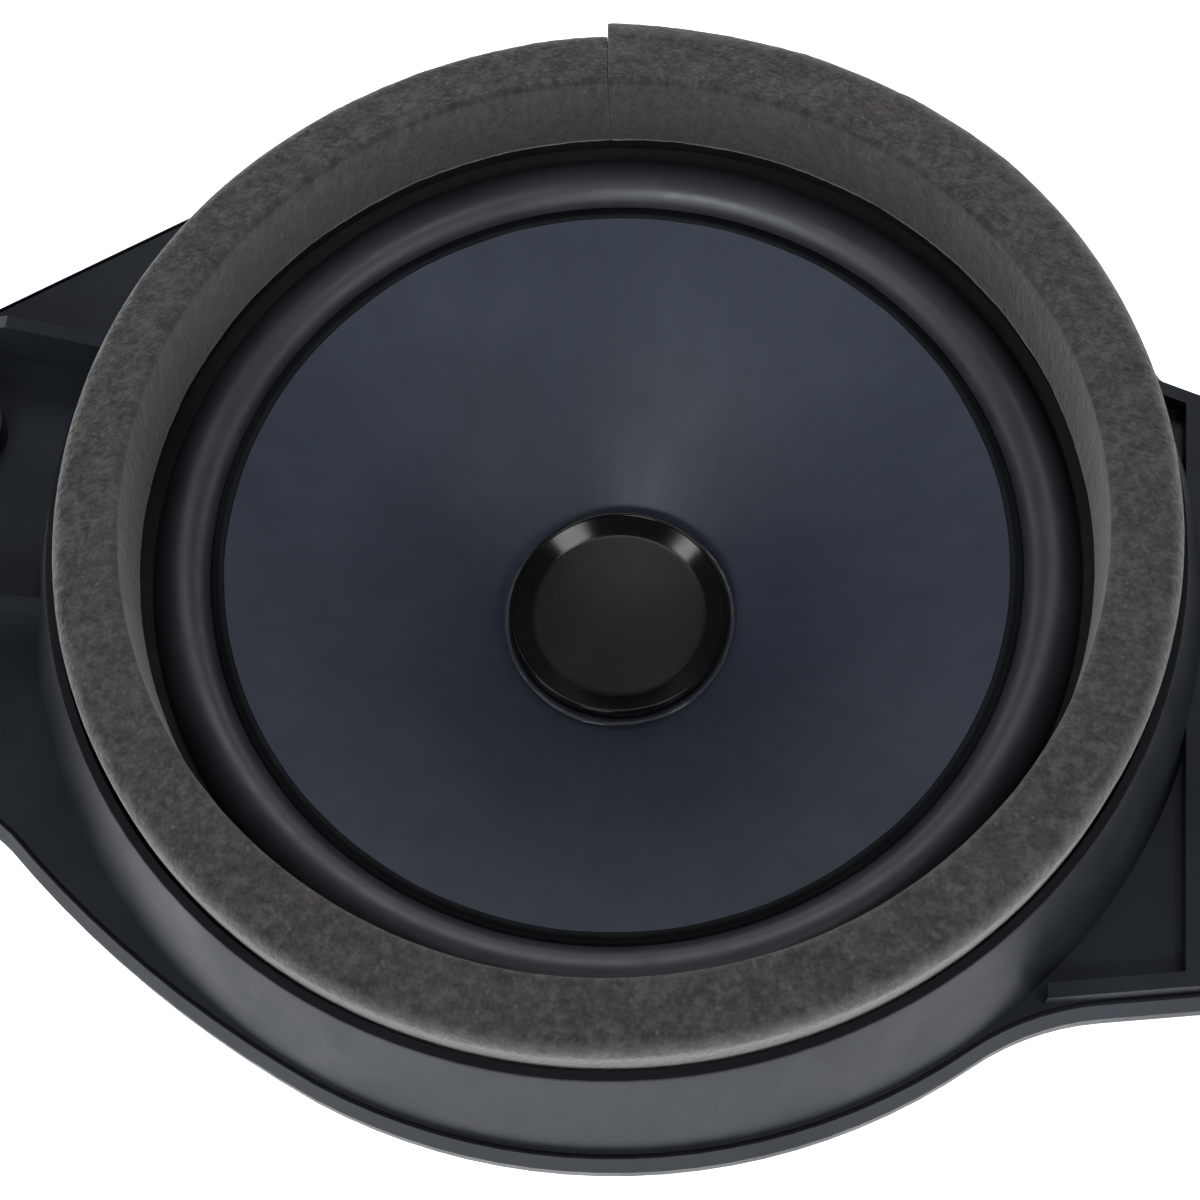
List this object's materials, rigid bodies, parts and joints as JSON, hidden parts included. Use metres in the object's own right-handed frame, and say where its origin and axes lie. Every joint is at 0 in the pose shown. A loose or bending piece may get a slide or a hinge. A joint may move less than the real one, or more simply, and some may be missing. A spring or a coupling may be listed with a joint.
{
  "type": "car door speaker",
  "caption": "Round full-range car door speaker with a foam sealing ring, a sprung cone, a ferrite motor and moulded mounting ears.",
  "frame": {"origin": "centre of the magnet's flat back face, on the speaker's axis", "axes": "+Z along the speaker's axis out of its front, +X towards the middle of the right-hand mounting ear"},
  "size_m": [0.244, 0.1892, 0.088],
  "materials": {
    "frame_plastic": "fine satin mould texture",
    "ring_plastic": "fine satin",
    "open_cell_foam": "matt open-cell foam",
    "adhesive_tape": "matt film",
    "seal_foam": "matt closed-cell foam",
    "plated_steel": "zinc plated",
    "ferrite": "matt ceramic",
    "screen_steel": "fine woven mesh",
    "screw_steel": "zinc plated",
    "former_aluminium": "bright",
    "copper_wire": "enamelled",
    "cone_polypropylene": "smooth satin",
    "cap_plastic": "matt",
    "glue": "glossy",
    "surround_rubber": "matt",
    "spider_cloth": "resin-dipped woven cloth",
    "brass_plated": "bright",
    "connector_plastic": "smooth",
    "tin_brass": "tinned",
    "tinsel_braid": "woven tinsel"
  },
  "bodies": {
    "frame": {"basket_frame": "frame_plastic", "front_foam_gasket": "open_cell_foam", "foam_tape": "adhesive_tape", "surround_clamp_ring": "ring_plastic", "rear_foam_seal": "seal_foam", "pole_yoke": "plated_steel", "pole_vent_screen": "screen_steel", "ferrite_magnet": "ferrite", "top_plate": "plated_steel", "plate_screws": "screw_steel", "terminal_housing": "connector_plastic", "terminal_blade_positive": "tin_brass", "terminal_blade_negative": "tin_brass", "terminal_rivets": "screw_steel"},
    "cone": {"cone": "cone_polypropylene", "dust_cap": "cap_plastic", "cap_glue_bead": "glue", "coil_former": "former_aluminium", "coil_winding": "copper_wire", "lead_eyelets": "brass_plated", "surround": "surround_rubber", "spider": "spider_cloth", "tinsel_lead_positive": "tinsel_braid", "tinsel_lead_negative": "tinsel_braid"}
  },
  "joints": [
    {"name": "cone_travel", "type": "slide", "parent": "frame", "child": "cone", "axis": [0, 0, 1], "range_m": [-0.0045, 0.0045], "stiffness_N_per_m": 1500, "deforming": ["surround", "spider", "tinsel_lead_positive", "tinsel_lead_negative"]}
  ]
}
